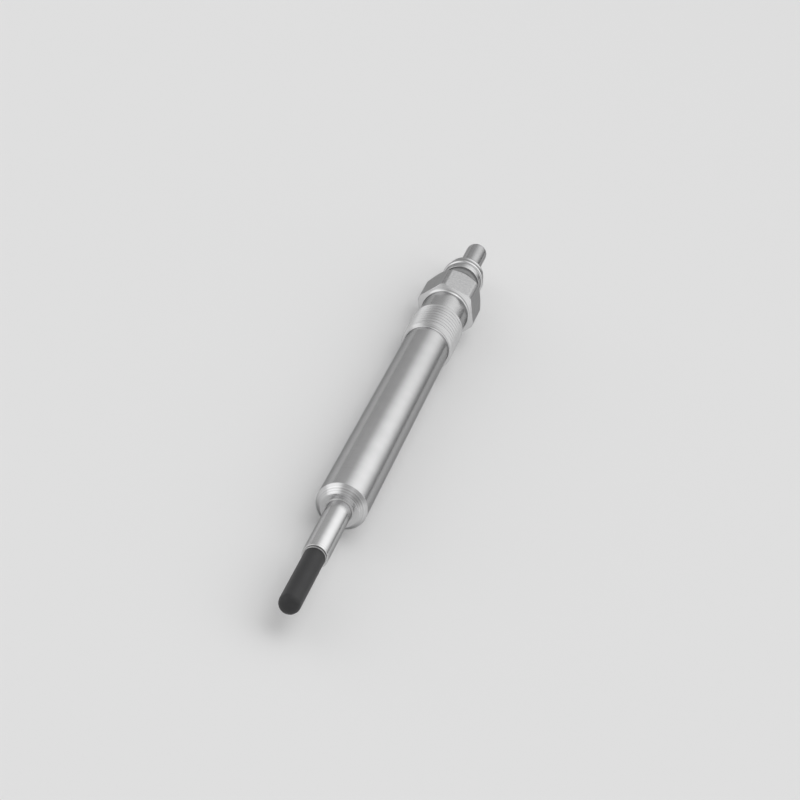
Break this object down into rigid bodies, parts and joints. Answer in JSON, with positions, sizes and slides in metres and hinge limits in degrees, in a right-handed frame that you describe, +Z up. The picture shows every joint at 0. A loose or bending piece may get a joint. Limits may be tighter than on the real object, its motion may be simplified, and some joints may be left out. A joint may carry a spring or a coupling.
{
  "type": "diesel glow plug",
  "caption": "Slim steel glow plug with a dark ceramic heater rod, conical seat, fine mounting thread, hexagon and push-on pin terminal, which warms a diesel cylinder for starting.",
  "frame": {"origin": "on the surface that the plug lies on, under the middle of its length", "axes": "+Y along the plug's axis from the heater's tip to the terminal pin, +Z up from the flat of the hexagon that lies on the surface"},
  "size_m": [0.0112, 0.127, 0.01],
  "materials": {
    "shell_steel": "bright turned, plated",
    "sleeve_steel": "bright drawn tube",
    "braze": "silver braze",
    "ceramic": "ground silicon nitride",
    "conductor": "sintered tungsten alloy",
    "nickel": "nickel",
    "rod_steel": "drawn rod",
    "seal_rubber": "matte",
    "bush_plastic": "moulded",
    "terminal_steel": "bright plated"
  },
  "bodies": {
    "root": {"shell": "shell_steel", "heater_sleeve": "sleeve_steel", "nose_braze": "braze", "mouth_braze": "braze", "ceramic_heater": "ceramic", "heating_loop": "conductor", "feed_lead": "conductor", "ground_lead": "conductor", "contact_cap": "nickel", "lead_coil": "nickel", "centre_rod": "rod_steel", "seal_ring": "seal_rubber", "insulating_bush": "bush_plastic", "terminal_cap": "terminal_steel"}
  },
  "joints": []
}
